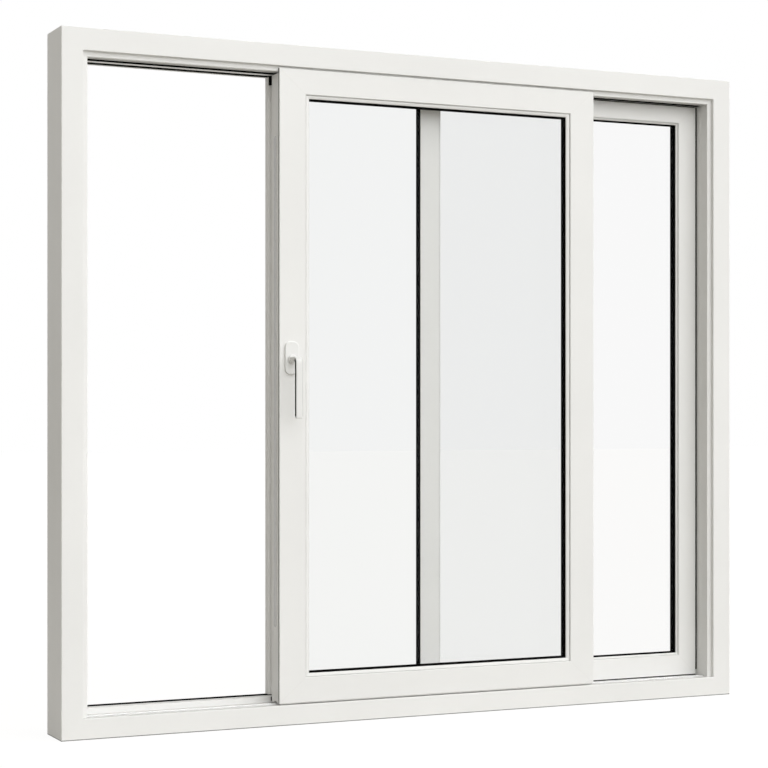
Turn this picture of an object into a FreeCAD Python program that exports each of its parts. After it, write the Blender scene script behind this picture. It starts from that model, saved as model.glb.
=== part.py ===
import FreeCAD, Part
import math
import os

# Glass sliding patio door, millimetres: +X right, +Y away from the room, +Z up.
# Origin at the middle of the sill underside.

# Overall size of the outer frame
width = 2350.0
height = 2100.0
depth = 154.0

# Outer frame section
face_frame = 67.0
flange_depth = 13.0
clear_edge = 83.0
sill_front = 63.0
sill_back = 81.0
soft = 3.0

# Head channels
guide_p = 26.0
guide_wide = 16.0
guide_deep = 20.0
filler_p = 46.0
channel_deep = 18.0
seal_recess = 1.0
seal_wide = 36.0
rear_lip = 14.0
rib_wide = 24.0
sill_seal_wide = 37.0
sill_lip = 4.0
seal_clear = 2.0
seal_end = 1.0
corner = 2.0

# Drain slots through the outside of the sill
drain_count = 4
drain_long = 36.0
drain_high = 6.0
drain_deep = 12.0
drain_z = 22.0

# Sliding leaf
leaf_open = 602.0
leaf_overlap = 30.0
leaf_front = 4.0
leaf_thick = 64.0
leaf_face = 89.0
bead_wide = 13.0
leaf_rail_share = 0.87
lip_thick = 4.0
run_gap = 5.0
top_gap = 6.0

# Fixed panel
fixed_gap = 7.0
fixed_thick = 60.0
fixed_under = 3.0
rebate_wide = 22.0
fixed_face = 69.0
fixed_bead = 7.0
fixed_top_share = 0.84
fixed_side_gap = 6.0
fixed_top_gap = 3.0
lap_gap = 3.0
lap_thick = 7.0

# Glazing units
pane = 4.0
gasket = 2.0
leaf_bead_deep = 6.0
fixed_bead_deep = 6.0
leaf_leg_deep = 25.0
fixed_leg_deep = 19.0
cover_lap = 10.2
rebate_under = 6.0
leg_lean = 0.55
spacer_show = 2.0
bead_set = 4.0
bead_slope = 1.0
bead_nose = 3.0
turn_share = 0.4
bead_groove = 2.0
groove_deep = 3.0
gasket_show = 1.0
slit = 0.2

# Rail, rollers and guides
rail_wide = 8.0
rail_high = 4.0
rail_p = 36.0
seat = 0.3
wheel_d = 26.0
wheel_wide = 6.0
slot_wide = 24.0
slot_deep = 30.0
slot_in = 60.0
carriage_long = 110.0
carriage_in = 190.0
carriage_top = 4.0
carriage_wall = 3.0
carriage_clear = 2.0
wheel_reach = 32.0
axle_d = 6.0
guide_long = 60.0
guide_clear = 5.0
guide_over = 7.0

# Meeting profiles
fin_reach = 30.0
fin_thick = 8.0
fin_plate = 3.0
fin_plate_deep = 40.0
fin_edge = 1.5
fin_lift = 5.0
stile_seal = 4.0
seal_deep = 24.0

# Weather bar behind the lock stile
bar_neck_in = 8.0
bar_neck_wide = 16.0
bar_neck_deep = 28.0
bar_wide = 28.0
bar_deep = 27.0

# Lever handle
plate_wide = 46.0
plate_high = 102.0
plate_thick = 7.0
plate_round = 18.0
plate_rise = 3.0
plate_edge = 2.5
spindle_in = 40.0
spindle_z = 1130.0
collar_d = 27.0
collar_long = 7.0
neck_long = 38.0
elbow = 8.0
grip_wide = 22.0
grip_thick = 13.0
grip_round = 3.5
grip_end = 3.0
grip_drop = 183.0

# Worked-out positions
closed_x = clear_edge + run_gap
leaf_width = (width - 2 * clear_edge) / 2 + leaf_overlap
leaf_x = closed_x + leaf_open
leaf_back = leaf_front + leaf_thick
leaf_z0 = sill_front + run_gap
leaf_z1 = height - face_frame - top_gap
leaf_x1 = leaf_x + leaf_width
body_top = height - clear_edge - run_gap
fixed_x = closed_x + leaf_width - fixed_under
fixed_x1 = width - clear_edge - fixed_side_gap
fixed_z0 = sill_front + lap_gap
fixed_z1 = height - clear_edge - fixed_top_gap
fixed_front = leaf_back + fixed_gap
riser_p = fixed_front + lap_thick
fixed_back = fixed_front + fixed_thick
rear_seal_p1 = depth - rear_lip
rear_seal_p0 = rear_seal_p1 - seal_wide
filler_p1 = rear_seal_p0 - rib_wide
sill_seal_p1 = depth - sill_lip
sill_seal_p0 = sill_seal_p1 - sill_seal_wide

os.makedirs("parts", exist_ok=True)


def at(x, p, z):
    """A point from the left edge, the front face and the sill underside."""
    return FreeCAD.Vector(x - width / 2, p - depth / 2, z)


def block(x0, x1, p0, p1, z0, z1):
    return Part.makeBox(x1 - x0, p1 - p0, z1 - z0, at(x0, p0, z0))


def outline(corners, place):
    """A closed face from (u, v, radius) corners, each corner rounded by its radius."""
    edges = []
    last = None
    first = None
    count = len(corners)
    for i in range(count):
        u, v, r = corners[i]
        here = FreeCAD.Vector(u, v, 0)
        before = FreeCAD.Vector(corners[i - 1][0], corners[i - 1][1], 0)
        after = FreeCAD.Vector(corners[(i + 1) % count][0], corners[(i + 1) % count][1], 0)
        if r > 0:
            back = (before - here).normalize()
            on = (after - here).normalize()
            half = back.getAngle(on) / 2
            run = r / math.tan(half)
            start = here + back * run
            stop = here + on * run
            middle = (back + on).normalize()
            far = r / math.sin(half) - r
            bulge = here + middle * far
        else:
            start = here
            stop = here
            bulge = None
        if last is not None:
            edges.append(Part.makeLine(place(last.x, last.y), place(start.x, start.y)))
        if first is None:
            first = start
        if bulge is not None:
            arc = Part.Arc(place(start.x, start.y), place(bulge.x, bulge.y), place(stop.x, stop.y))
            edges.append(arc.toShape())
        last = stop
    edges.append(Part.makeLine(place(last.x, last.y), place(first.x, first.y)))
    return Part.Face(Part.Wire(edges))


def mapped(side, x0, x1, z0, z1):
    """Where section point (h, p) lies on one side of a rectangle, and the run along that side."""
    if side == "left":
        return (lambda h, p: at(x0 + h, p, z0)), FreeCAD.Vector(0, 0, z1 - z0)
    if side == "right":
        return (lambda h, p: at(x1 - h, p, z0)), FreeCAD.Vector(0, 0, z1 - z0)
    if side == "bottom":
        return (lambda h, p: at(x0, p, z0 + h)), FreeCAD.Vector(x1 - x0, 0, 0)
    return (lambda h, p: at(x0, p, z1 - h)), FreeCAD.Vector(x1 - x0, 0, 0)


def mitre(side, x0, x1, z0, z1, top_share, low_share):
    """The wedge that one side keeps when the corners are mitred; rails are a share as wide as stiles."""
    m = 0.45 * min(x1 - x0, z1 - z0)
    up = z1 - m * top_share
    down = z0 + m * low_share
    inner = {
        "left": [(x0, z0), (x0, z1), (x0 + m, up), (x0 + m, down)],
        "right": [(x1, z0), (x1, z1), (x1 - m, up), (x1 - m, down)],
        "bottom": [(x0, z0), (x1, z0), (x1 - m, down), (x0 + m, down)],
        "top": [(x0, z1), (x1, z1), (x1 - m, up), (x0 + m, up)],
    }[side]
    points = [at(x, -depth, z) for x, z in inner]
    wire = Part.makePolygon(points + [points[0]])
    return Part.Face(wire).extrude(FreeCAD.Vector(0, 3 * depth, 0))


def member(side, section, x0, x1, z0, z1, top_share=1.0, low_share=1.0):
    """One mitred length of a section on one side of a rectangle."""
    place, run = mapped(side, x0, x1, z0, z1)
    share = {"top": top_share, "bottom": low_share}.get(side, 1.0)
    sized = [(h * share, p, r) for h, p, r in section]
    return outline(sized, place).extrude(run).common(mitre(side, x0, x1, z0, z1, top_share, low_share))


def strips(x0, x1, z0, z1, wide, p0, p1):
    """Four square-cut strips round a rectangle, as one compound that does not touch itself."""
    rows = [block(x0, x1, p0, p1, z0, z0 + wide), block(x0, x1, p0, p1, z1 - wide, z1)]
    for a in (x0, x1 - wide):
        rows.append(block(a, a + wide, p0, p1, z0 + wide + slit, z1 - wide - slit))
    return Part.makeCompound(rows)


def save(name, shape):
    shape.exportStep("parts/" + name + ".step")


def channel(edge, deep, p0, p1):
    """Section corners of a square channel cut into an edge."""
    return [(edge, p0, 0), (edge - deep, p0, 0), (edge - deep, p1, 0), (edge, p1, 0)]


# Outer frame: head and jambs mitred at the top, jambs standing on the sill
start = [(0, 0, corner), (face_frame, 0, soft), (face_frame, flange_depth, 0),
         (clear_edge, flange_depth, corner)]
end = [(clear_edge, depth, corner), (0, depth, corner)]
jamb_section = start + end
head_section = start + channel(clear_edge, guide_deep, guide_p, guide_p + guide_wide)
head_section += channel(clear_edge, channel_deep, filler_p, filler_p1)
head_section += channel(clear_edge, channel_deep, rear_seal_p0, rear_seal_p1) + end


def sill_length(x0, x1, front_round, round_):
    """A length of the sill section: square on top under the jambs, rounded between them."""
    section = [(0, 0, corner), (sill_front, 0, front_round), (sill_front, riser_p, 0),
               (sill_back, riser_p, round_), (sill_back, depth, round_), (0, depth, corner)]
    place, run = mapped("bottom", x0, x1, 0, height)
    return outline(section, place).extrude(run)


sill = sill_length(face_frame, width - face_frame, soft, corner)
sill = sill.fuse(sill_length(0, face_frame, 0, 0)).fuse(sill_length(width - face_frame, width, 0, 0))
plan = [(0, 0, corner), (width, 0, corner), (width, depth, corner), (0, depth, corner)]
plan_face = outline(plan, lambda x, p: at(x, p, -soft))
sill = sill.common(plan_face.extrude(FreeCAD.Vector(0, 0, height))).removeSplitter()
sill = sill.cut(block(clear_edge, width - clear_edge, sill_seal_p0, sill_seal_p1,
                      sill_back - channel_deep, sill_back + soft))
for i in range(drain_count):
    drain_x = width * (i + 0.5) / drain_count
    sill = sill.cut(block(drain_x - drain_long / 2, drain_x + drain_long / 2, depth - drain_deep,
                          depth + soft, drain_z, drain_z + drain_high))
save("sill", sill)
under = block(-soft, width + soft, -soft, riser_p, -soft, sill_front)
under = under.fuse(block(-soft, width + soft, riser_p, depth + soft, -soft, sill_back))
save("head", member("top", head_section, 0, width, 0, height))
for side in ("left", "right"):
    save("jamb_" + side, member(side, jamb_section, 0, width, 0, height, 1.0, 0.0).cut(under))

# Black strips in the head and sill channels, and the running rail
top = height - clear_edge
save("head_filler", block(clear_edge, width - clear_edge, filler_p, filler_p1,
                          top + seal_recess, top + channel_deep))
save("head_seal", block(clear_edge, width - clear_edge, rear_seal_p0, rear_seal_p1,
                        top + seal_recess, top + channel_deep))
save("sill_seal", block(clear_edge, width - clear_edge, sill_seal_p0, sill_seal_p1,
                        sill_back - channel_deep, sill_back - seal_recess))
rail_p0 = rail_p - rail_wide / 2
rail_p1 = rail_p + rail_wide / 2
rail_section = [(sill_front, rail_p0, 0), (sill_front + rail_high, rail_p0, fin_edge),
                (sill_front + rail_high, rail_p1, fin_edge), (sill_front, rail_p1, 0)]
place, run = mapped("bottom", clear_edge, width - clear_edge, 0, height)
save("rail", outline(rail_section, place).extrude(run))


def glazed(name, x0, x1, z0, z1, front, thick, face, bead, bead_deep, leg_deep, shares, trims):
    """A mitred panel: four members, four beads, two gaskets, two panes and a spacer."""
    back = front + thick
    leg = back - leg_deep
    bead_p = front + bead_set
    seat_p = bead_p + bead_deep
    glass_p = seat_p + gasket
    section = [(0, front, corner), (face, front, soft), (face, seat_p, 0), (face - rebate_under, seat_p, 0),
               (face - rebate_under, leg, 0), (face + bead, leg, 0),
               (face + bead - leg_lean * leg_deep, back, corner), (0, back, corner)]
    turn = face + bead * (1 - turn_share)
    bead_section = [(face + bead_groove, bead_p, 0), (turn, bead_p + bead_slope, corner),
                    (face + bead, bead_p + bead_nose, corner), (face + bead, seat_p, 0),
                    (face, seat_p, 0), (face, bead_p + groove_deep, 0),
                    (face + bead_groove, bead_p + groove_deep, 0)]
    names = {"left": "left_stile", "right": "right_stile", "top": "top_rail", "bottom": "bottom_rail"}
    for side in names:
        shape = member(side, section, x0, x1, z0, z1, *shares)
        for trim in trims:
            shape = shape.cut(trim)
        save(name + "_" + names[side], shape)
        save(name + "_bead_" + side, member(side, bead_section, x0, x1, z0, z1, *shares))
    sight = face + bead
    gx0 = x0 + sight - cover_lap
    gx1 = x1 - sight + cover_lap
    gz0 = z0 + sight * shares[1] - cover_lap
    gz1 = z1 - sight * shares[0] + cover_lap
    save(name + "_gasket", Part.makeCompound([
        strips(gx0, gx1, gz0, gz1, cover_lap + gasket_show, glass_p - gasket, glass_p),
        strips(gx0, gx1, gz0, gz1, cover_lap + gasket_show, leg - gasket, leg)]))
    save(name + "_pane_front", block(gx0, gx1, glass_p, glass_p + pane, gz0, gz1))
    save(name + "_pane_back", block(gx0, gx1, leg - gasket - pane, leg - gasket, gz0, gz1))
    save(name + "_spacer", strips(gx0, gx1, gz0, gz1, cover_lap + spacer_show,
                                  glass_p + pane, leg - gasket - pane))


# Sliding leaf: the lip in front overlaps the head, the body behind it is lower;
# the slot for the rollers is deep between the stiles and only clears the rail at the ends
rail_top = sill_front + rail_high
slot_p0 = rail_p - slot_wide / 2
slot_p1 = rail_p + slot_wide / 2
leaf_trims = [block(leaf_x - soft, leaf_x1 + soft, leaf_front + lip_thick, leaf_back + soft,
                    body_top, leaf_z1 + soft),
              block(leaf_x + slot_in, leaf_x1 - slot_in, slot_p0, slot_p1, leaf_z0 - soft,
                    leaf_z0 + slot_deep),
              block(leaf_x - soft, leaf_x1 + soft, slot_p0, slot_p1, leaf_z0 - soft, rail_top + run_gap)]
glazed("leaf", leaf_x, leaf_x1, leaf_z0, leaf_z1, leaf_front, leaf_thick, leaf_face, bead_wide,
       leaf_bead_deep, leaf_leg_deep, (leaf_rail_share, leaf_rail_share), leaf_trims)

# Roller carriages in the slot under the leaf, and the guides in the head channel
slot_top = leaf_z0 + slot_deep
wheel_z = rail_top + seat + wheel_d / 2
carriages = []
guides = []
for middle in (leaf_x + carriage_in, leaf_x1 - carriage_in):
    x0 = middle - carriage_long / 2
    x1 = middle + carriage_long / 2
    side_p0 = slot_p0 + carriage_clear
    side_p1 = slot_p1 - carriage_clear
    shape = block(x0, x1, side_p0, side_p1, slot_top - carriage_top, slot_top)
    for p in (side_p0, side_p1 - carriage_wall):
        shape = shape.fuse(block(x0, x1, p, p + carriage_wall, leaf_z0 + carriage_top,
                                 slot_top - carriage_top))
    for wheel_x in (middle - wheel_reach, middle + wheel_reach):
        axle = Part.makeCylinder(axle_d / 2, side_p1 - side_p0, at(wheel_x, side_p0, wheel_z),
                                 FreeCAD.Vector(0, 1, 0))
        disc = Part.makeCylinder(wheel_d / 2, wheel_wide, at(wheel_x, rail_p - wheel_wide / 2, wheel_z),
                                 FreeCAD.Vector(0, 1, 0))
        shape = shape.fuse(axle).fuse(disc)
    carriages.append(shape)
    guides.append(block(middle - guide_long / 2, middle + guide_long / 2, guide_p + guide_clear,
                        guide_p + guide_wide - guide_clear, body_top,
                        body_top + run_gap + guide_deep - guide_over))
save("leaf_rollers", Part.makeCompound(carriages))
save("leaf_guides", Part.makeCompound(guides))

# Meeting profile on the far edge of the leaf
fin_p1 = fixed_front - run_gap
fin_p0 = fin_p1 - fin_plate_deep
fin_section = [(leaf_x1, fin_p0, 0), (leaf_x1 + fin_plate, fin_p0, fin_edge),
               (leaf_x1 + fin_plate, fin_p1 - fin_thick, 0),
               (leaf_x1 + fin_reach, fin_p1 - fin_thick, fin_edge),
               (leaf_x1 + fin_reach, fin_p1, fin_edge), (leaf_x1, fin_p1, 0)]
fin_z0 = leaf_z0 + slot_deep + fin_lift
save("leaf_meeting_profile", outline(fin_section, lambda x, p: at(x, p, fin_z0)).extrude(
    FreeCAD.Vector(0, 0, body_top - fin_z0)))

# Weather bar behind the lock stile
bar_p = leaf_back + bar_neck_deep
bar_section = [(leaf_x + bar_neck_in, leaf_back, 0), (leaf_x + bar_neck_in, bar_p, 0),
               (leaf_x, bar_p, fin_edge), (leaf_x, bar_p + bar_deep, fin_edge),
               (leaf_x + bar_wide, bar_p + bar_deep, fin_edge), (leaf_x + bar_wide, bar_p, fin_edge),
               (leaf_x + bar_neck_in + bar_neck_wide, bar_p, 0),
               (leaf_x + bar_neck_in + bar_neck_wide, leaf_back, 0)]
bar_z0 = sill_back + run_gap
save("leaf_weather_bar", outline(bar_section, lambda x, p: at(x, p, bar_z0)).extrude(
    FreeCAD.Vector(0, 0, body_top - bar_z0)))

# Fixed panel: its bottom rail laps over the riser, its meeting stile is rebated behind
riser_trim = block(fixed_x - soft, fixed_x1 + soft, riser_p, fixed_back + soft, fixed_z0 - soft, sill_back)
rebate = block(fixed_x - soft, fixed_x + rebate_wide, fixed_front + seal_deep, fixed_back + soft, 0, height)
glazed("fixed", fixed_x, fixed_x1, fixed_z0, fixed_z1, fixed_front, fixed_thick, fixed_face, fixed_bead,
       fixed_bead_deep, fixed_leg_deep, (fixed_top_share, 1.0), [riser_trim, rebate])
save("fixed_seal", Part.makeCompound([
    block(fixed_x + rebate_wide, fixed_x1, filler_p1 + seal_clear, rear_seal_p0 - seal_clear,
          fixed_z1, height - clear_edge),
    block(fixed_x1, width - clear_edge, fixed_front + seal_clear, fixed_back - seal_clear,
          sill_back + seal_end, fixed_z1 - seal_end),
    block(fixed_x, fixed_x1, fixed_front + seal_end, riser_p - seal_end, sill_front, fixed_z0)]))
save("fixed_meeting_seal", block(fixed_x - stile_seal, fixed_x, fixed_front, fixed_front + seal_deep,
                                 sill_back + seal_end, fixed_z1 - seal_end))

# Lever handle on the lock stile
plate_x = leaf_x + spindle_in - plate_wide / 2
plate_z = spindle_z + plate_rise
plate_section = [(plate_x, plate_z - plate_high / 2, plate_round),
                 (plate_x, plate_z + plate_high / 2, plate_round),
                 (plate_x + plate_wide, plate_z + plate_high / 2, plate_round),
                 (plate_x + plate_wide, plate_z - plate_high / 2, plate_round)]
plate = outline(plate_section, lambda x, z: at(x, leaf_front, z)).extrude(FreeCAD.Vector(0, -plate_thick, 0))
rim = [e for e in plate.Edges if abs(e.BoundBox.YMax - (leaf_front - plate_thick - depth / 2)) < 0.01]
save("handle_plate", plate.makeFillet(plate_edge, rim))
neck_p = leaf_front - plate_thick - seat
elbow_p = neck_p - neck_long
grip_x = leaf_x + spindle_in - grip_wide / 2
lever_z0 = spindle_z - grip_thick / 2
lever_z1 = spindle_z + grip_thick / 2
neck_section = [(grip_x, lever_z0, grip_round), (grip_x, lever_z1, grip_round),
                (grip_x + grip_wide, lever_z1, grip_round), (grip_x + grip_wide, lever_z0, grip_round)]
lever = outline(neck_section, lambda x, z: at(x, neck_p, z)).extrude(FreeCAD.Vector(0, -neck_long, 0))
bend = outline(neck_section, lambda x, z: at(x, elbow_p, z))
lever = lever.fuse(bend.revolve(at(0, elbow_p, lever_z0 - elbow), FreeCAD.Vector(1, 0, 0), 90))
grip_p = elbow_p - elbow
grip_section = [(grip_x, grip_p, grip_round), (grip_x + grip_wide, grip_p, grip_round),
                (grip_x + grip_wide, grip_p - grip_thick, grip_round),
                (grip_x, grip_p - grip_thick, grip_round)]
grip_z = lever_z0 - elbow
grip = outline(grip_section, lambda x, p: at(x, p, grip_z)).extrude(
    FreeCAD.Vector(0, 0, spindle_z - grip_drop - grip_z))
rim = [e for e in grip.Edges if abs(e.BoundBox.ZMax - (spindle_z - grip_drop)) < 0.01]
collar = Part.makeCylinder(collar_d / 2, collar_long, at(leaf_x + spindle_in, neck_p, spindle_z),
                           FreeCAD.Vector(0, -1, 0))
rim_collar = [e for e in collar.Edges if abs(e.BoundBox.YMax - (neck_p - collar_long - depth / 2)) < 0.01]
lever = lever.fuse(grip.makeFillet(grip_end, rim)).fuse(collar.makeFillet(corner, rim_collar))
save("handle_lever", lever.removeSplitter())
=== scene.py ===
import math
import bmesh
import bpy
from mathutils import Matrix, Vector


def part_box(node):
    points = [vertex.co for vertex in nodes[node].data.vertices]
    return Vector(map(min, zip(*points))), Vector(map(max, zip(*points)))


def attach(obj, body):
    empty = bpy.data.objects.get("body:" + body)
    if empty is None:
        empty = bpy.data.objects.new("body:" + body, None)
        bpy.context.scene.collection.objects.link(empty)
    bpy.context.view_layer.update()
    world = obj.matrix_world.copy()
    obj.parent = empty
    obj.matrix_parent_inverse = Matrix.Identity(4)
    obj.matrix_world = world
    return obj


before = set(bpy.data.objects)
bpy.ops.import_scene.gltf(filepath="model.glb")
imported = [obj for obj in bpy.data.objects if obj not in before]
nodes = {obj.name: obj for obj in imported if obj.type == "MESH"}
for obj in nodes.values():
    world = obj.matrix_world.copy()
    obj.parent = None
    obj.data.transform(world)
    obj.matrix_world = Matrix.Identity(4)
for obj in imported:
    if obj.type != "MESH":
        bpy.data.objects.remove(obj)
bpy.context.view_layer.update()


# Outer frame: head, two jambs and sill.
# Drawn white plastic, hollow in the real door, welded at the top corners;
# the jambs stand on the sill. A satin skin; on the sill alone, painted shadow along
# its foot and painted shade on the faces that look up.
def name_sockets(tree, taken, given):
    """Name what a node group takes in and what it gives out."""
    for way, sockets in (("INPUT", taken), ("OUTPUT", given)):
        for name, kind in sockets.items():
            tree.interface.new_socket(name, in_out=way, socket_type="NodeSocket" + kind)


def drawn_skin():
    """Faint lines along the length and a cloudy tone, as drawn plastic has."""
    tree = bpy.data.node_groups.new("drawn_skin", "ShaderNodeTree")
    name_sockets(tree, {"Colour": "Color", "Gloss": "Float", "Stretch": "Vector"},
                 {"Colour": "Color", "Roughness": "Float", "Height": "Float"})
    n = tree.nodes
    link = tree.links.new
    into = n.new("NodeGroupInput")
    out = n.new("NodeGroupOutput")
    where = n.new("ShaderNodeTexCoord")
    turn = n.new("ShaderNodeVectorMath")
    turn.operation = "MULTIPLY"
    lines = n.new("ShaderNodeTexNoise")
    lines.inputs["Scale"].default_value = 9.0
    lines.inputs["Detail"].default_value = 3.0
    cloud = n.new("ShaderNodeTexNoise")
    cloud.inputs["Scale"].default_value = 3.2
    cloud.inputs["Detail"].default_value = 4.0
    link(where.outputs["Object"], turn.inputs[0])
    link(into.outputs["Stretch"], turn.inputs[1])
    link(turn.outputs[0], lines.inputs["Vector"])
    link(where.outputs["Object"], cloud.inputs["Vector"])
    dull = n.new("ShaderNodeMapRange")
    dull.inputs["From Min"].default_value = 0.3
    dull.inputs["From Max"].default_value = 0.7
    dull.inputs["To Min"].default_value = 0.965
    dull.inputs["To Max"].default_value = 1.0
    link(cloud.outputs["Fac"], dull.inputs["Value"])
    tint = n.new("ShaderNodeMix")
    tint.data_type = "RGBA"
    tint.blend_type = "MULTIPLY"
    tint.inputs["Factor"].default_value = 1.0
    link(into.outputs["Colour"], tint.inputs["A"])
    link(dull.outputs["Result"], tint.inputs["B"])
    rough = n.new("ShaderNodeMath")
    rough.operation = "MULTIPLY_ADD"
    rough.inputs[1].default_value = 0.12
    link(lines.outputs["Fac"], rough.inputs[0])
    link(into.outputs["Gloss"], rough.inputs[2])
    link(tint.outputs["Result"], out.inputs["Colour"])
    link(rough.outputs[0], out.inputs["Roughness"])
    link(lines.outputs["Fac"], out.inputs["Height"])
    return tree


skin_group = drawn_skin()


def white_plastic(name, colour, gloss, stretch, ripple):
    mat = bpy.data.materials.new(name)
    mat.use_nodes = True
    n = mat.node_tree.nodes
    link = mat.node_tree.links.new
    shade = n["Principled BSDF"]
    shade.inputs["IOR"].default_value = 1.5
    shade.inputs["Specular IOR Level"].default_value = 0.25
    skin = n.new("ShaderNodeGroup")
    skin.node_tree = skin_group
    skin.inputs["Colour"].default_value = (*colour, 1.0)
    skin.inputs["Gloss"].default_value = gloss
    skin.inputs["Stretch"].default_value = stretch
    bump = n.new("ShaderNodeBump")
    bump.inputs["Strength"].default_value = ripple
    bump.inputs["Distance"].default_value = 0.0004
    link(skin.outputs["Colour"], shade.inputs["Base Color"])
    link(skin.outputs["Roughness"], shade.inputs["Roughness"])
    link(skin.outputs["Height"], bump.inputs["Height"])
    link(bump.outputs["Normal"], shade.inputs["Normal"])
    return mat


def painted_foot_shadow(mat, colour):
    """Painted shadow: a fine dark grey line along the foot of the sill, where the contact shadow falls."""
    line_high = 0.0022
    fade_high = 0.0034
    n = mat.node_tree.nodes
    link = mat.node_tree.links.new
    skin = next(node for node in n if node.bl_idname == "ShaderNodeGroup")
    where = n.new("ShaderNodeTexCoord")
    apart = n.new("ShaderNodeSeparateXYZ")
    line = n.new("ShaderNodeMapRange")
    line.inputs["From Min"].default_value = line_high
    line.inputs["From Max"].default_value = fade_high
    line.inputs["To Min"].default_value = 1.0
    line.inputs["To Max"].default_value = 0.0
    tint = n.new("ShaderNodeMix")
    tint.data_type = "RGBA"
    tint.inputs["B"].default_value = (*colour, 1.0)
    link(where.outputs["Object"], apart.inputs["Vector"])
    link(apart.outputs["Z"], line.inputs["Value"])
    link(line.outputs["Result"], tint.inputs["Factor"])
    link(skin.outputs["Colour"], tint.inputs["A"])
    link(tint.outputs["Result"], n["Principled BSDF"].inputs["Base Color"])


def painted_top_shade(mat, colour):
    """Painted shade: darken the faces that look up towards a grey, to tone down the light that falls on
    them.
    """
    n = mat.node_tree.nodes
    link = mat.node_tree.links.new
    base = n["Principled BSDF"].inputs["Base Color"]
    unshaded_colour = base.links[0].from_socket
    surface = n.new("ShaderNodeNewGeometry")
    apart = n.new("ShaderNodeSeparateXYZ")
    # Painted shade: the more a face looks up, the greyer it is painted.
    top_shade_mask = n.new("ShaderNodeMapRange")
    top_shade_mask.inputs["From Min"].default_value = 0.6
    top_shade_mask.inputs["From Max"].default_value = 0.95
    tint = n.new("ShaderNodeMix")
    tint.data_type = "RGBA"
    tint.inputs["B"].default_value = (*colour, 1.0)
    link(surface.outputs["Normal"], apart.inputs["Vector"])
    link(apart.outputs["Z"], top_shade_mask.inputs["Value"])
    link(top_shade_mask.outputs["Result"], tint.inputs["Factor"])
    link(unshaded_colour, tint.inputs["A"])
    link(tint.outputs["Result"], base)


def paint(names, mat):
    """Give several nodes of the frame one finish."""
    for name in names:
        slots = nodes[name].data.materials
        slots.clear()
        slots.append(mat)


white = (0.85, 0.848, 0.838)
along_x = (0.6, 26.0, 26.0)
along_z = (26.0, 26.0, 0.6)
satin = 0.32
ripple = 0.06
# Colour of the painted shadow along the sill's foot.
foot_shadow_grey = (0.2, 0.2, 0.19)
# Colour of the painted shade on the sill's up-facing faces.
top_shade_grey = (0.72, 0.715, 0.7)
white_across = white_plastic("white_plastic_across", white, satin, along_x, ripple)
white_upright = white_plastic("white_plastic_upright", white, satin, along_z, ripple)
white_sill = white_plastic("white_plastic_sill", white, satin, along_x, ripple)
# Painted contact shadow along the sill's foot.
painted_foot_shadow(white_sill, foot_shadow_grey)
# Painted shade on the sill's up-facing faces.
painted_top_shade(white_sill, top_shade_grey)
paint(["head"], white_across)
paint(["sill"], white_sill)
paint(["jamb_left", "jamb_right"], white_upright)


# Black strips pressed into the head and sill channels.
# Extruded rubber, matt, with a fine dusty bloom.
def black_rubber(name, colour, gloss):
    mat = bpy.data.materials.new(name)
    mat.use_nodes = True
    n = mat.node_tree.nodes
    link = mat.node_tree.links.new
    shade = n["Principled BSDF"]
    shade.inputs["Specular IOR Level"].default_value = 0.0
    where = n.new("ShaderNodeTexCoord")
    bloom = n.new("ShaderNodeTexNoise")
    bloom.inputs["Scale"].default_value = 60.0
    bloom.inputs["Detail"].default_value = 4.0
    tone = n.new("ShaderNodeValToRGB")
    tone.color_ramp.elements[0].color = (*colour, 1.0)
    tone.color_ramp.elements[1].color = (*[1.6 * c for c in colour], 1.0)
    rough = n.new("ShaderNodeMapRange")
    rough.inputs["To Min"].default_value = gloss - 0.1
    rough.inputs["To Max"].default_value = gloss + 0.1
    link(where.outputs["Object"], bloom.inputs["Vector"])
    link(bloom.outputs["Fac"], tone.inputs["Fac"])
    link(bloom.outputs["Fac"], rough.inputs["Value"])
    link(tone.outputs["Color"], shade.inputs["Base Color"])
    link(rough.outputs["Result"], shade.inputs["Roughness"])
    return mat


rubber = black_rubber("black_rubber", (0.004, 0.004, 0.004), 0.7)
paint(["head_filler", "head_seal", "sill_seal"], rubber)


# Running rail on the sill.
# Drawn aluminium with lengthwise draw marks.
def drawn_metal(name, colour, gloss, stretch):
    mat = bpy.data.materials.new(name)
    mat.use_nodes = True
    n = mat.node_tree.nodes
    link = mat.node_tree.links.new
    shade = n["Principled BSDF"]
    shade.inputs["Metallic"].default_value = 1.0
    where = n.new("ShaderNodeTexCoord")
    turn = n.new("ShaderNodeMapping")
    turn.inputs["Scale"].default_value = stretch
    marks = n.new("ShaderNodeTexNoise")
    marks.inputs["Scale"].default_value = 40.0
    marks.inputs["Detail"].default_value = 3.0
    tone = n.new("ShaderNodeValToRGB")
    tone.color_ramp.elements[0].position = 0.3
    tone.color_ramp.elements[0].color = (*[0.86 * c for c in colour], 1.0)
    tone.color_ramp.elements[1].position = 0.7
    tone.color_ramp.elements[1].color = (*colour, 1.0)
    rough = n.new("ShaderNodeMapRange")
    rough.inputs["To Min"].default_value = gloss
    rough.inputs["To Max"].default_value = gloss + 0.22
    link(where.outputs["Object"], turn.inputs["Vector"])
    link(turn.outputs["Vector"], marks.inputs["Vector"])
    link(marks.outputs["Fac"], tone.inputs["Fac"])
    link(marks.outputs["Fac"], rough.inputs["Value"])
    link(tone.outputs["Color"], shade.inputs["Base Color"])
    link(rough.outputs["Result"], shade.inputs["Roughness"])
    return mat


rail_metal = drawn_metal("rail_aluminium", (0.66, 0.66, 0.65), 0.34, (0.5, 30.0, 30.0))
paint(["rail"], rail_metal)


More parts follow.
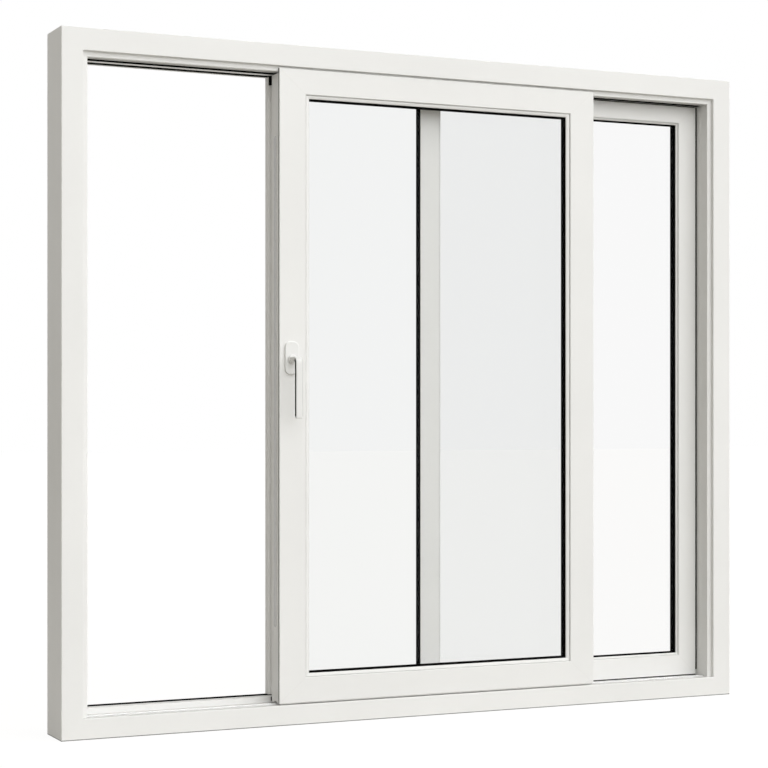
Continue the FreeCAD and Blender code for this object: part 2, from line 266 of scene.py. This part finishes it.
# Fixed panel: four white members, beads and a black seal round it.
# It stands on the sill behind the leaf's track.
paint(["fixed_top_rail", "fixed_bottom_rail", "fixed_bead_top", "fixed_bead_bottom"], white_across)
paint(["fixed_left_stile", "fixed_right_stile", "fixed_bead_left", "fixed_bead_right"], white_upright)
paint(["fixed_gasket", "fixed_seal", "fixed_meeting_seal"], rubber)
spacer_black = black_rubber("spacer_black", (0.002, 0.002, 0.002), 0.5)
paint(["fixed_spacer"], spacer_black)


# Weld seams: where the fixed panel's corners are welded, a hair of plastic stands
# along each mitre on the front. It is planed nearly flush.
def swept_bead(name, mat):
    tree = bpy.data.node_groups.new(name, "GeometryNodeTree")
    name_sockets(tree, {"Lines": "Geometry", "Radius": "Float", "Sides": "Int"}, {"Piece": "Geometry"})
    n = tree.nodes
    link = tree.links.new
    into = n.new("NodeGroupInput")
    out = n.new("NodeGroupOutput")
    path = n.new("GeometryNodeMeshToCurve")
    ring = n.new("GeometryNodeCurvePrimitiveCircle")
    sweep = n.new("GeometryNodeCurveToMesh")
    sweep.inputs["Fill Caps"].default_value = True
    real = n.new("GeometryNodeRealizeInstances")
    finish = n.new("GeometryNodeSetMaterial")
    finish.inputs["Material"].default_value = mat
    link(into.outputs["Lines"], path.inputs["Mesh"])
    link(into.outputs["Sides"], ring.inputs["Resolution"])
    link(into.outputs["Radius"], ring.inputs["Radius"])
    link(path.outputs["Curve"], sweep.inputs["Curve"])
    link(ring.outputs["Curve"], sweep.inputs["Profile Curve"])
    link(sweep.outputs["Mesh"], real.inputs["Geometry"])
    link(real.outputs["Geometry"], finish.inputs["Geometry"])
    link(finish.outputs["Geometry"], out.inputs["Piece"])
    return tree


def grown(name, tree, points, lines, sizes):
    """Run a node tree over points and lines, and keep what grows there as a plain mesh."""
    base = bpy.data.meshes.new(name + "_base")
    base.from_pydata(points, lines, [])
    holder = bpy.data.objects.new(name + "_base", base)
    bpy.context.collection.objects.link(holder)
    grow = holder.modifiers.new("grow", "NODES")
    grow.node_group = tree
    for item in tree.interface.items_tree:
        if item.in_out == "INPUT" and item.name in sizes:
            grow[item.identifier] = sizes[item.name]
    seen = holder.evaluated_get(bpy.context.evaluated_depsgraph_get())
    mesh = bpy.data.meshes.new_from_object(seen)
    mesh.name = name
    holder.modifiers.remove(grow)
    bpy.data.objects.remove(holder)
    piece = bpy.data.objects.new(name, mesh)
    bpy.context.collection.objects.link(piece)
    return piece


def seam_lines(low, high, stile_wide, top_share, low_share, sunk):
    """End points of the four mitre lines on the front of a welded panel."""
    points = []
    lines = []
    outer_gap = 0.006
    inner_gap = 0.001
    front = low.y + sunk
    for x, inward in ((low.x, 1), (high.x, -1)):
        for z, rise in ((low.z, low_share), (high.z, -top_share)):
            for reach in (outer_gap, stile_wide - inner_gap):
                points.append((x + inward * reach, front, z + rise * reach))
            lines.append((len(points) - 2, len(points) - 1))
    return points, lines


def frame_box(names):
    """Lowest and highest corners round several nodes."""
    boxes = [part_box(name) for name in names]
    low = Vector([min(b[0][i] for b in boxes) for i in range(3)])
    high = Vector([max(b[1][i] for b in boxes) for i in range(3)])
    return low, high


seam_size = {"Radius": 0.0006, "Sides": 8}
seam_sunk = 0.00032
fixed_stile_wide = 0.069
fixed_top_share = 0.84
fixed_foot_share = 1.0
seam_white = white_plastic("weld_seam_white", (0.8, 0.797, 0.782), 0.4, along_z, 0.02)
seam_tree = swept_bead("weld_seam", seam_white)
low, high = frame_box(["fixed_left_stile", "fixed_right_stile", "fixed_top_rail", "fixed_bottom_rail"])
points, lines = seam_lines(low, high, fixed_stile_wide, fixed_top_share, fixed_foot_share, seam_sunk)
frame_seams = grown("fixed_weld_seams", seam_tree, points, lines, seam_size)
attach(frame_seams, "frame")


# Strip lips: a fine black lip along the far edge of the head filler and of the sill's strip.
# Extruded in one with the strip, in the same matt rubber, and cut off at the fixed panel.
strip_lip_tree = swept_bead("strip_lip", rubber)


def strip_lip(name, strip, on_top, radius):
    low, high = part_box(strip)
    end_gap = 0.002
    edge_y = high.y - radius
    edge_z = high.z if on_top else low.z
    far_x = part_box("fixed_left_stile")[0].x - end_gap
    ends = [(low.x + end_gap, edge_y, edge_z), (far_x, edge_y, edge_z)]
    piece = grown(name, strip_lip_tree, ends, [(0, 1)], {"Radius": radius, "Sides": 12})
    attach(piece, "frame")


strip_lip("head_filler_lip", "head_filler", False, 0.0013)
strip_lip("sill_seal_lip", "sill_seal", True, 0.0009)


# Cover caps: small domed caps pressed over the fixing screws in the left jamb.
# Moulded white plastic, one about every half metre.
def caps_on_points(mat):
    tree = bpy.data.node_groups.new("cover_cap", "GeometryNodeTree")
    name_sockets(tree, {"Points": "Geometry", "Radius": "Float", "Flatness": "Vector"},
                 {"Piece": "Geometry"})
    n = tree.nodes
    link = tree.links.new
    into = n.new("NodeGroupInput")
    out = n.new("NodeGroupOutput")
    dome = n.new("GeometryNodeMeshUVSphere")
    dome.inputs["Segments"].default_value = 24
    dome.inputs["Rings"].default_value = 12
    each = n.new("GeometryNodeInstanceOnPoints")
    real = n.new("GeometryNodeRealizeInstances")
    round_off = n.new("GeometryNodeSetShadeSmooth")
    finish = n.new("GeometryNodeSetMaterial")
    finish.inputs["Material"].default_value = mat
    link(into.outputs["Points"], each.inputs["Points"])
    link(into.outputs["Radius"], dome.inputs["Radius"])
    link(dome.outputs["Mesh"], each.inputs["Instance"])
    link(into.outputs["Flatness"], each.inputs["Scale"])
    link(each.outputs["Instances"], real.inputs["Geometry"])
    link(real.outputs["Geometry"], round_off.inputs["Geometry"])
    link(round_off.outputs["Geometry"], finish.inputs["Geometry"])
    link(finish.outputs["Geometry"], out.inputs["Piece"])
    return tree


cap_inset = 0.05
cap_first = 0.2
cap_step = 0.57
cap_count = 4
cap_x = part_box("jamb_left")[1].x
cap_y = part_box("jamb_left")[1].y - cap_inset
cap_points = [(cap_x, cap_y, cap_first + cap_step * i) for i in range(cap_count)]
caps = grown("cover_caps", caps_on_points(white_upright), cap_points, [],
             {"Radius": 0.008, "Flatness": (0.2, 1.0, 1.0)})
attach(caps, "frame")


# Panes of both glazing units.
# Clear float glass, 4 mm, with a thin low-reflection coat, a very faint grey body colour
# and a hint of roll waviness.
def float_glass(name, body):
    mat = bpy.data.materials.new(name)
    mat.use_nodes = True
    n = mat.node_tree.nodes
    link = mat.node_tree.links.new
    shade = n["Principled BSDF"]
    shade.inputs["Base Color"].default_value = (*body, 1.0)
    shade.inputs["Roughness"].default_value = 0.0
    shade.inputs["IOR"].default_value = 1.12
    shade.inputs["Transmission Weight"].default_value = 1.0
    where = n.new("ShaderNodeTexCoord")
    wave = n.new("ShaderNodeTexNoise")
    wave.inputs["Scale"].default_value = 2.0
    wave.inputs["Detail"].default_value = 1.0
    bump = n.new("ShaderNodeBump")
    bump.inputs["Strength"].default_value = 0.02
    bump.inputs["Distance"].default_value = 0.001
    link(where.outputs["Object"], wave.inputs["Vector"])
    link(wave.outputs["Fac"], bump.inputs["Height"])
    link(bump.outputs["Normal"], shade.inputs["Normal"])
    path = n.new("ShaderNodeLightPath")
    clear = n.new("ShaderNodeBsdfTransparent")
    clear.inputs["Color"].default_value = (0.985, 0.985, 0.985, 1.0)
    both = n.new("ShaderNodeMixShader")
    through = n.new("ShaderNodeMath")
    through.operation = "MAXIMUM"
    link(path.outputs["Is Shadow Ray"], through.inputs[0])
    link(path.outputs["Is Diffuse Ray"], through.inputs[1])
    link(through.outputs[0], both.inputs[0])
    link(shade.outputs["BSDF"], both.inputs[1])
    link(clear.outputs["BSDF"], both.inputs[2])
    link(both.outputs["Shader"], n["Material Output"].inputs["Surface"])
    return mat


fixed_clear = (0.97, 0.97, 0.97)
leaf_clear = (0.943, 0.947, 0.945)
paint(["fixed_pane_front", "fixed_pane_back"], float_glass("float_glass_fixed", fixed_clear))
paint(["leaf_pane_front", "leaf_pane_back"], float_glass("float_glass_leaf", leaf_clear))


# Butyl lines: the black sealing compound that shows as a fine edge inside each glazing unit,
# along the top and the foot. It is squeezed between the front pane and the spacer.
def add_block(shape, low, high):
    """Add a plain block between two corners to a shape."""
    made = bmesh.ops.create_cube(shape, size=1.0)
    for v in made["verts"]:
        v.co = Vector([(low[i] + high[i]) / 2 + v.co[i] * (high[i] - low[i]) for i in range(3)])


def shaped_piece(name, shape, mat):
    """Turn a finished shape into a piece with one finish."""
    mesh = bpy.data.meshes.new(name)
    shape.to_mesh(mesh)
    shape.free()
    mesh.materials.append(mat)
    piece = bpy.data.objects.new(name, mesh)
    bpy.context.collection.objects.link(piece)
    return piece


def butyl_lines(name, pane, reach):
    low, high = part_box(pane)
    hidden = 0.0115
    thick = 0.0004
    shape = bmesh.new()
    for z0, z1 in ((low.z + hidden, low.z + reach), (high.z - reach, high.z - hidden)):
        add_block(shape, (low.x + hidden, high.y, z0), (high.x - hidden, high.y + thick, z1))
    piece = shaped_piece(name, shape, spacer_black)
    return piece


fixed_reach = 0.0159
leaf_reach = 0.0174
fixed_butyl = butyl_lines("fixed_butyl_lines", "fixed_pane_front", fixed_reach)
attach(fixed_butyl, "frame")
leaf_butyl = butyl_lines("leaf_butyl_lines", "leaf_pane_front", leaf_reach)
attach(leaf_butyl, "leaf")


# Sliding leaf: four mitred white members and snap-in beads.
# Rollers of turned steel in the slot below, black nylon guides on top.
paint(["leaf_top_rail", "leaf_bottom_rail", "leaf_bead_top", "leaf_bead_bottom"], white_across)
paint(["leaf_left_stile", "leaf_right_stile", "leaf_bead_left", "leaf_bead_right"], white_upright)
paint(["leaf_weather_bar", "leaf_meeting_profile"], white_upright)
paint(["leaf_gasket"], rubber)
paint(["leaf_spacer"], spacer_black)
roller_steel = drawn_metal("roller_steel", (0.55, 0.55, 0.56), 0.3, (20.0, 1.0, 20.0))
paint(["leaf_rollers"], roller_steel)
guide_nylon = black_rubber("guide_nylon", (0.012, 0.012, 0.012), 0.5)
paint(["leaf_guides"], guide_nylon)


# Leaf weld seams and edge seal.
# The leaf's corners are welded like the fixed panel's; a black rubber lip runs up each side
# just behind the front face and closes against the outer frame; a white lip hangs under the foot.
leaf_members = ["leaf_left_stile", "leaf_right_stile", "leaf_top_rail", "leaf_bottom_rail"]
leaf_low, leaf_high = frame_box(leaf_members)
leaf_stile_wide = 0.089
leaf_rail_share = 0.87
points, lines = seam_lines(leaf_low, leaf_high, leaf_stile_wide, leaf_rail_share, leaf_rail_share, seam_sunk)
leaf_seams = grown("leaf_weld_seams", seam_tree, points, lines, seam_size)
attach(leaf_seams, "leaf")
lip_size = {"Radius": 0.0016, "Sides": 12}
lip_sunk = 0.0005
lip_behind = 0.0042
lip_y = leaf_low.y + lip_behind
lip_x = (leaf_low.x + lip_sunk, leaf_high.x - lip_sunk)
lip_z = (leaf_low.z + lip_sunk, leaf_high.z - lip_sunk)
lip_points = [(lip_x[0], lip_y, lip_z[0]), (lip_x[1], lip_y, lip_z[0])]
lip_points += [(lip_x[1], lip_y, lip_z[1]), (lip_x[0], lip_y, lip_z[1])]
lip = grown("leaf_edge_seal", swept_bead("edge_lip", rubber), lip_points, [(1, 2), (3, 0)], lip_size)
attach(lip, "leaf")
foot_drop = 0.0012
foot_end = 0.004
foot_z = leaf_low.z - foot_drop
foot_points = [(x, lip_y, foot_z) for x in (leaf_low.x + foot_end, leaf_high.x - foot_end)]
foot_lip = grown("leaf_foot_lip", swept_bead("foot_lip", seam_white), foot_points, [(0, 1)], lip_size)
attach(foot_lip, "leaf")


# Brush piles: rows of short black bristles behind the meeting profile and the weather bar.
# Each row is a woven pile strip, pressed in; it sweeps the fixed panel and keeps draughts out.
def pile_row(mat):
    tree = bpy.data.node_groups.new("brush_pile", "GeometryNodeTree")
    name_sockets(tree, {"Lines": "Geometry", "Spacing": "Float", "Pile": "Float", "Thickness": "Float",
                        "Tip": "Float", "Lean": "Vector"}, {"Piece": "Geometry"})
    n = tree.nodes
    link = tree.links.new
    into = n.new("NodeGroupInput")
    out = n.new("NodeGroupOutput")
    path = n.new("GeometryNodeMeshToCurve")
    steps = n.new("GeometryNodeResampleCurve")
    steps.mode = "LENGTH"
    tuft = n.new("GeometryNodeMeshCone")
    tuft.inputs["Vertices"].default_value = 6
    spread = n.new("FunctionNodeRandomValue")
    spread.data_type = "FLOAT_VECTOR"
    spread.inputs[0].default_value = (-0.16, -0.16, -0.3)
    spread.inputs[1].default_value = (0.16, 0.16, 0.3)
    spread.inputs["Seed"].default_value = 7
    turned = n.new("ShaderNodeVectorMath")
    each = n.new("GeometryNodeInstanceOnPoints")
    real = n.new("GeometryNodeRealizeInstances")
    finish = n.new("GeometryNodeSetMaterial")
    finish.inputs["Material"].default_value = mat
    link(into.outputs["Lines"], path.inputs["Mesh"])
    link(path.outputs["Curve"], steps.inputs["Curve"])
    link(into.outputs["Spacing"], steps.inputs["Length"])
    link(into.outputs["Pile"], tuft.inputs["Depth"])
    link(into.outputs["Thickness"], tuft.inputs["Radius Bottom"])
    link(into.outputs["Tip"], tuft.inputs["Radius Top"])
    link(into.outputs["Lean"], turned.inputs[0])
    link(spread.outputs[0], turned.inputs[1])
    link(steps.outputs["Curve"], each.inputs["Points"])
    link(tuft.outputs["Mesh"], each.inputs["Instance"])
    link(turned.outputs["Vector"], each.inputs["Rotation"])
    link(each.outputs["Instances"], real.inputs["Geometry"])
    link(real.outputs["Geometry"], finish.inputs["Geometry"])
    link(finish.outputs["Geometry"], out.inputs["Piece"])
    return tree


fin_low, fin_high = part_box("leaf_meeting_profile")
bar_low, bar_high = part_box("leaf_weather_bar")
pile_end = 0.012
pile_sunk = 0.0005
fin_inset = 0.012
fin_x = fin_high.x - fin_inset
bar_x = (bar_low.x + bar_high.x) / 2
row_points = []
for row_x, low, high in ((fin_x, fin_low, fin_high), (bar_x, bar_low, bar_high)):
    for z in (low.z + pile_end, high.z - pile_end):
        row_points.append((row_x, high.y - pile_sunk, z))
pile_black = black_rubber("brush_pile_black", (0.008, 0.008, 0.008), 0.8)
piles = grown("leaf_brush_piles", pile_row(pile_black), row_points, [(0, 1), (2, 3)],
              {"Spacing": 0.0024, "Pile": 0.004, "Thickness": 0.0017, "Tip": 0.0006,
               "Lean": (-math.pi / 2, 0.0, 0.0)})
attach(piles, "leaf")


# Corner shade blocks: two black blocks with softened edges on the back of the lock stile, one in the gap
# under the top of the weather bar and one at the foot. They are painted shade:
# dark pieces put where the gaps at these corners lie in shade.
# Painted shade: the black of the blocks that stand for the shade in the corner gaps.
shade_black = black_rubber("painted_shade_black", (0.003, 0.003, 0.003), 0.85)
neck_deep = 0.028
top_block_high = 0.026
foot_block_deep = 0.011
foot_block_high = 0.013
block_round = 0.0006
block_x = (bar_low.x + 0.0012, bar_low.x + 0.008)
block_y = (bar_low.y, bar_low.y + neck_deep)
shade_blocks_shape = bmesh.new()
add_block(shade_blocks_shape, (block_x[0], block_y[0], bar_high.z - top_block_high),
          (block_x[1], block_y[1], bar_high.z))
add_block(shade_blocks_shape, (block_x[0], block_y[0], leaf_low.z),
          (block_x[1], block_y[0] + foot_block_deep, leaf_low.z + foot_block_high))
bmesh.ops.bevel(shade_blocks_shape, geom=list(shade_blocks_shape.edges), offset=block_round, segments=2,
                affect="EDGES", profile=0.5)
shade_blocks = shaped_piece("leaf_shade_blocks", shade_blocks_shape, shade_black)
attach(shade_blocks, "leaf")


# Lock: a steel face strip let onto the leaf's edge, and its keeper on the left jamb.
# Pressed steel with rounded ends, held by small countersunk screws with crossed slots.
def plate_strip(name, x, thick, y0, y1, z0, z1, mat):
    """A flat strip with rounded ends, standing in the YZ plane."""
    arc_steps = 12
    edge_round = 0.0002
    shape = bmesh.new()
    radius = (y1 - y0) / 2
    middle = (y0 + y1) / 2
    rim = []
    for z, start in ((z1 - radius, 0.0), (z0 + radius, math.pi)):
        for i in range(arc_steps + 1):
            turn = start + math.pi * i / arc_steps
            rim.append((middle + radius * math.cos(turn), z + radius * math.sin(turn)))
    loop = [shape.verts.new((x, y, z)) for y, z in rim]
    shape.faces.new(loop)
    made = bmesh.ops.extrude_face_region(shape, geom=list(shape.faces))
    for v in [g for g in made["geom"] if isinstance(g, bmesh.types.BMVert)]:
        v.co.x += thick
    bmesh.ops.recalc_face_normals(shape, faces=list(shape.faces))
    edges = [e for e in shape.edges if abs(e.verts[0].co.x - e.verts[1].co.x) < 1e-7]
    bmesh.ops.bevel(shape, geom=edges, offset=edge_round, segments=2, affect="EDGES", profile=0.5)
    return shaped_piece(name, shape, mat)


def screws_on_points(mat):
    """Countersunk heads on points: a low disc with a raised rim round a crossed slot."""
    tree = bpy.data.node_groups.new("lock_screw", "GeometryNodeTree")
    name_sockets(tree, {"Points": "Geometry", "Radius": "Float", "Rise": "Float", "Slot": "Float",
                        "Facing": "Vector"}, {"Piece": "Geometry"})
    n = tree.nodes
    link = tree.links.new
    into = n.new("NodeGroupInput")
    out = n.new("NodeGroupOutput")
    head = n.new("GeometryNodeMeshCylinder")
    head.inputs["Vertices"].default_value = 20
    cuts = []
    for across in (0, 1):
        size = n.new("ShaderNodeCombineXYZ")
        link(into.outputs["Radius"], size.inputs[across])
        link(into.outputs["Slot"], size.inputs[1 - across])
        link(into.outputs["Rise"], size.inputs[2])
        cut = n.new("GeometryNodeMeshCube")
        link(size.outputs["Vector"], cut.inputs["Size"])
        lift = n.new("GeometryNodeTransform")
        up = n.new("ShaderNodeCombineXYZ")
        half = n.new("ShaderNodeMath")
        half.operation = "MULTIPLY"
        half.inputs[1].default_value = 0.5
        link(into.outputs["Rise"], half.inputs[0])
        link(half.outputs[0], up.inputs[2])
        link(cut.outputs["Mesh"], lift.inputs["Geometry"])
        link(up.outputs["Vector"], lift.inputs["Translation"])
        cuts.append(lift)
    carve = n.new("GeometryNodeMeshBoolean")
    carve.operation = "DIFFERENCE"
    each = n.new("GeometryNodeInstanceOnPoints")
    real = n.new("GeometryNodeRealizeInstances")
    finish = n.new("GeometryNodeSetMaterial")
    finish.inputs["Material"].default_value = mat
    link(into.outputs["Radius"], head.inputs["Radius"])
    link(into.outputs["Rise"], head.inputs["Depth"])
    link(head.outputs["Mesh"], carve.inputs["Mesh 1"])
    for lift in cuts:
        link(lift.outputs["Geometry"], carve.inputs["Mesh 2"])
    link(into.outputs["Points"], each.inputs["Points"])
    link(carve.outputs["Mesh"], each.inputs["Instance"])
    link(into.outputs["Facing"], each.inputs["Rotation"])
    link(each.outputs["Instances"], real.inputs["Geometry"])
    link(real.outputs["Geometry"], finish.inputs["Geometry"])
    link(finish.outputs["Geometry"], out.inputs["Piece"])
    return tree


lock_steel = drawn_metal("lock_steel", (0.46, 0.455, 0.44), 0.42, (20.0, 20.0, 0.8))
strip_thick = 0.0008
strip_y = (leaf_low.y + 0.026, leaf_low.y + 0.042)
strip_z = (0.3, 1.82)
strip_x = leaf_low.x - strip_thick
strip = plate_strip("lock_face_strip", strip_x, strip_thick, *strip_y, *strip_z, lock_steel)
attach(strip, "leaf")
screw_tree = screws_on_points(lock_steel)
screw_size = {"Radius": 0.0038, "Rise": 0.0006, "Slot": 0.0011}
screw_first = 0.33
screw_step = 0.292
screw_count = 6
quarter_turn = math.pi / 2
strip_middle = (strip_y[0] + strip_y[1]) / 2
screw_points = [(strip_x, strip_middle, screw_first + screw_step * i) for i in range(screw_count)]
strip_screws = grown("lock_strip_screws", screw_tree, screw_points, [],
                     {**screw_size, "Facing": (0.0, -quarter_turn, 0.0)})
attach(strip_screws, "leaf")
keeper_margin = 0.003
keeper_y = (strip_y[0] - keeper_margin, strip_y[1] + keeper_margin)
keeper_z = (1.04, 1.22)
keeper = plate_strip("lock_keeper", cap_x, strip_thick, *keeper_y, *keeper_z, lock_steel)
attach(keeper, "frame")
mouth_x = cap_x + strip_thick
mouth_thick = 0.0002
mouth_half = 0.005
mouth_y = (strip_middle - mouth_half, strip_middle + mouth_half)
mouth_z = (1.085, 1.175)
mouth = plate_strip("lock_keeper_mouth", mouth_x, mouth_thick, *mouth_y, *mouth_z, guide_nylon)
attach(mouth, "frame")
keeper_screw_z = (1.06, 1.2)
keeper_points = [(mouth_x, strip_middle, z) for z in keeper_screw_z]
keeper_screws = grown("lock_keeper_screws", screw_tree, keeper_points, [],
                      {**screw_size, "Facing": (0.0, quarter_turn, 0.0)})
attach(keeper_screws, "frame")


# Lever handle: back plate and lever.
# Cast metal with a white powder coat, which leaves a fine orange-peel skin.
def powder_coat():
    mat = bpy.data.materials.new("white_powder_coat")
    mat.use_nodes = True
    n = mat.node_tree.nodes
    link = mat.node_tree.links.new
    shade = n["Principled BSDF"]
    shade.inputs["Specular IOR Level"].default_value = 0.25
    where = n.new("ShaderNodeTexCoord")
    peel = n.new("ShaderNodeTexNoise")
    peel.inputs["Scale"].default_value = 420.0
    peel.inputs["Detail"].default_value = 2.0
    tone = n.new("ShaderNodeValToRGB")
    tone.color_ramp.elements[0].color = (0.8, 0.8, 0.79, 1.0)
    tone.color_ramp.elements[1].color = (0.83, 0.83, 0.82, 1.0)
    rough = n.new("ShaderNodeMapRange")
    rough.inputs["To Min"].default_value = 0.28
    rough.inputs["To Max"].default_value = 0.4
    bump = n.new("ShaderNodeBump")
    bump.inputs["Strength"].default_value = 0.08
    bump.inputs["Distance"].default_value = 0.0003
    link(where.outputs["Object"], peel.inputs["Vector"])
    link(peel.outputs["Fac"], tone.inputs["Fac"])
    link(peel.outputs["Fac"], rough.inputs["Value"])
    link(peel.outputs["Fac"], bump.inputs["Height"])
    link(tone.outputs["Color"], shade.inputs["Base Color"])
    link(rough.outputs["Result"], shade.inputs["Roughness"])
    link(bump.outputs["Normal"], shade.inputs["Normal"])
    return mat


paint(["handle_plate", "handle_lever"], powder_coat())


# Lever side shade: a thin dark strip let into both sides of the lever, from bend to tip,
# following its bend. It is painted shade, standing for the shade on the lever's sides.
def lever_side_shade(mat):
    low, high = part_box("handle_lever")
    half_bar = 0.0065
    inner_bend = 0.008
    neck_drop = 0.0135
    tip_gap = 0.006
    sunk = 0.0006
    proud = 0.00015
    bend_steps = 12
    first_step = 4
    bend = inner_bend + half_bar
    neck_z = high.z - neck_drop
    grip_y = low.y + half_bar
    elbow_y = grip_y + bend
    elbow_z = neck_z - bend
    half_strip = 0.0044
    centre_x = (low.x + high.x) / 2
    side_x = 0.011
    path = []
    for i in range(first_step, bend_steps + 1):
        turn = math.pi / 2 * i / bend_steps
        out = (-math.sin(turn), math.cos(turn))
        path.append(((elbow_y + bend * out[0], elbow_z + bend * out[1]), out))
    path.append(((grip_y, low.z + tip_gap), (-1.0, 0.0)))
    shape = bmesh.new()
    for sign in (-1, 1):
        rows = []
        for (y, z), out in path:
            row = []
            for across in (-half_strip, half_strip):
                for depth in (-sunk, proud):
                    x = centre_x + sign * (side_x + depth)
                    row.append(shape.verts.new((x, y + across * out[0], z + across * out[1])))
            rows.append([row[0], row[1], row[3], row[2]])
        for a, b in zip(rows, rows[1:]):
            for i in range(4):
                shape.faces.new((a[i], a[(i + 1) % 4], b[(i + 1) % 4], b[i]))
        shape.faces.new(rows[0])
        shape.faces.new(rows[-1])
    bmesh.ops.recalc_face_normals(shape, faces=list(shape.faces))
    return shaped_piece("lever_side_shade", shape, mat)


# Painted shade: a near-black strip on each side of the lever.
side_shade_strip = lever_side_shade(black_rubber("lever_shade_grey", (0.02, 0.02, 0.019), 0.6))
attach(side_shade_strip, "lever")


# Floor: a pale sheet that fades to white for the eye and keeps the soft shadow.
# The eye sees it straight, through glass and in gloss, but its light on the door stays plain.
def seen_by_eye(tree):
    """1 where the eye looks straight, through glass or in gloss, and 0 for light on the door."""
    n = tree.nodes
    path = n.new("ShaderNodeLightPath")
    total = None
    for kind in ("Is Camera Ray", "Is Glossy Ray", "Is Transmission Ray"):
        step = n.new("ShaderNodeMath")
        step.operation = "MAXIMUM"
        tree.links.new(path.outputs[kind], step.inputs[0])
        if total is None:
            step.inputs[1].default_value = 0.0
        else:
            tree.links.new(total, step.inputs[1])
        total = step.outputs[0]
    straight = n.new("ShaderNodeMath")
    straight.operation = "LESS_THAN"
    straight.inputs[1].default_value = 0.5
    tree.links.new(path.outputs["Diffuse Depth"], straight.inputs[0])
    only = n.new("ShaderNodeMath")
    only.operation = "MULTIPLY"
    tree.links.new(total, only.inputs[0])
    tree.links.new(straight.outputs[0], only.inputs[1])
    return only.outputs[0]


def pale_floor():
    mat = bpy.data.materials.new("pale_floor")
    mat.use_nodes = True
    n = mat.node_tree.nodes
    link = mat.node_tree.links.new
    n.remove(n["Principled BSDF"])
    chalk = n.new("ShaderNodeBsdfDiffuse")
    chalk.inputs["Color"].default_value = (0.5, 0.485, 0.445, 1.0)
    glow = n.new("ShaderNodeEmission")
    glow.inputs["Color"].default_value = (1.0, 1.0, 1.0, 1.0)
    glow.inputs["Strength"].default_value = 1.195
    share = n.new("ShaderNodeMath")
    share.operation = "MULTIPLY"
    share.inputs[1].default_value = 0.78
    both = n.new("ShaderNodeMixShader")
    link(seen_by_eye(mat.node_tree), share.inputs[0])
    link(share.outputs[0], both.inputs[0])
    link(chalk.outputs["BSDF"], both.inputs[1])
    link(glow.outputs["Emission"], both.inputs[2])
    link(both.outputs["Shader"], n["Material Output"].inputs["Surface"])
    return mat


floor_reach = 40.0
floor_drop = 0.0005
sheet = bmesh.new()
bmesh.ops.create_grid(sheet, x_segments=8, y_segments=8, size=floor_reach)
floor = shaped_piece("floor", sheet, pale_floor())
floor.location = (0.0, 0.0, -floor_drop)


# Light: an even pale room, one broad soft lamp from the upper right in front
# and a weaker low one behind, so that the outside doesn't stand in the dark.
world = bpy.data.worlds.new("room")
bpy.context.scene.world = world
world.use_nodes = True
world.cycles.sampling_method = "NONE"
n = world.node_tree.nodes
link = world.node_tree.links.new
n.clear()
room = n.new("ShaderNodeBackground")
room.inputs["Color"].default_value = (1.0, 0.965, 0.865, 1.0)
room.inputs["Strength"].default_value = 0.34
back = n.new("ShaderNodeBackground")
back.inputs["Color"].default_value = (1.0, 1.0, 1.0, 1.0)
back.inputs["Strength"].default_value = 1.0
both = n.new("ShaderNodeMixShader")
end = n.new("ShaderNodeOutputWorld")
link(seen_by_eye(world.node_tree), both.inputs[0])
link(room.outputs["Background"], both.inputs[1])
link(back.outputs["Background"], both.inputs[2])
link(both.outputs["Shader"], end.inputs["Surface"])


def soft_lamp(name, energy, spread, toward):
    """A lamp far off, as wide as its spread in degrees, that stands toward a direction."""
    data = bpy.data.lights.new(name, "SUN")
    data.energy = energy
    data.color = (0.975, 0.985, 1.0)
    data.angle = math.radians(spread)
    data.cycles.use_multiple_importance_sampling = False
    lamp = bpy.data.objects.new(name, data)
    bpy.context.collection.objects.link(lamp)
    lamp.rotation_euler = Vector(toward).to_track_quat("Z", "Y").to_euler()
    return lamp


soft_lamp("soft_lamp", 2.88, 90.0, (0.34, -0.82, 0.46))
back_lamp = soft_lamp("back_lamp", 1.25, 14.0, (0.3, 0.95, 0.05))
back_lamp.visible_glossy = False


# Camera: standing in the room to the left of the door, at about chest height.
# A long lens held level, so that the uprights stay upright.
view_data = bpy.data.cameras.new("camera")
view_data.sensor_width = 36.0
view_data.lens = 94.1
view_data.shift_y = 0.0368
view_data.clip_end = 200.0
camera = bpy.data.objects.new("camera", view_data)
bpy.context.collection.objects.link(camera)
camera.location = (-2.805, -5.810, 0.966)
camera.rotation_euler = (math.radians(90.0), 0.0, math.radians(-25.0))
bpy.context.scene.camera = camera
bpy.context.scene.view_settings.view_transform = "Standard"
